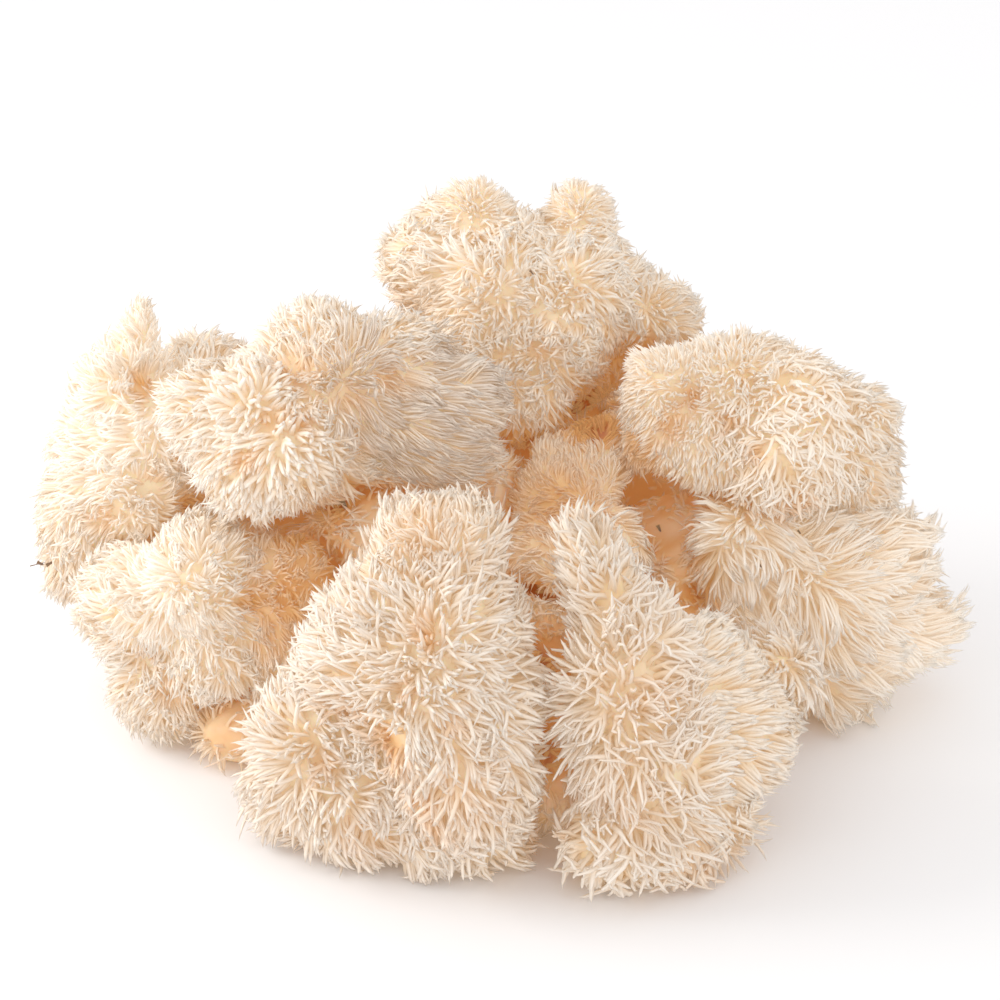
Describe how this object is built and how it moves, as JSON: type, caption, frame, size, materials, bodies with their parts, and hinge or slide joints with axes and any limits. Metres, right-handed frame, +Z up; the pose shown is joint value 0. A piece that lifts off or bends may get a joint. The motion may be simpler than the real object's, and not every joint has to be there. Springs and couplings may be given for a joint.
{
  "type": "bears head tooth fungus",
  "caption": "Branched edible fungus clothed in hanging cream teeth, cut off flat where it grew from its log.",
  "frame": {"origin": "on the surface that the fungus rests on, under the middle of its outline", "axes": "+X to the viewer's right along the widest extent, +Y away from the viewer, +Z up"},
  "size_m": [0.2082, 0.1548, 0.116],
  "materials": {
    "salmon_flesh": "moist matt flesh, salmon to amber, paler where it is cut",
    "cream_teeth": "waxy, slightly see-through teeth, cream at the tips and amber at the roots",
    "deep_cream_teeth": "waxy teeth, a deeper cream where they are crowded together"
  },
  "bodies": {
    "root": {"trunk": "salmon_flesh", "front_left_branch": "cream_teeth", "front_right_branch": "cream_teeth", "middle_branch": "deep_cream_teeth", "upper_left_branch": "cream_teeth", "lower_left_branch": "cream_teeth", "left_rear_branch": "cream_teeth", "rear_top_branch": "cream_teeth", "right_top_branch": "cream_teeth", "right_lower_branch": "cream_teeth", "rear_left_branch": "deep_cream_teeth", "rear_right_branch": "deep_cream_teeth"}
  },
  "joints": []
}
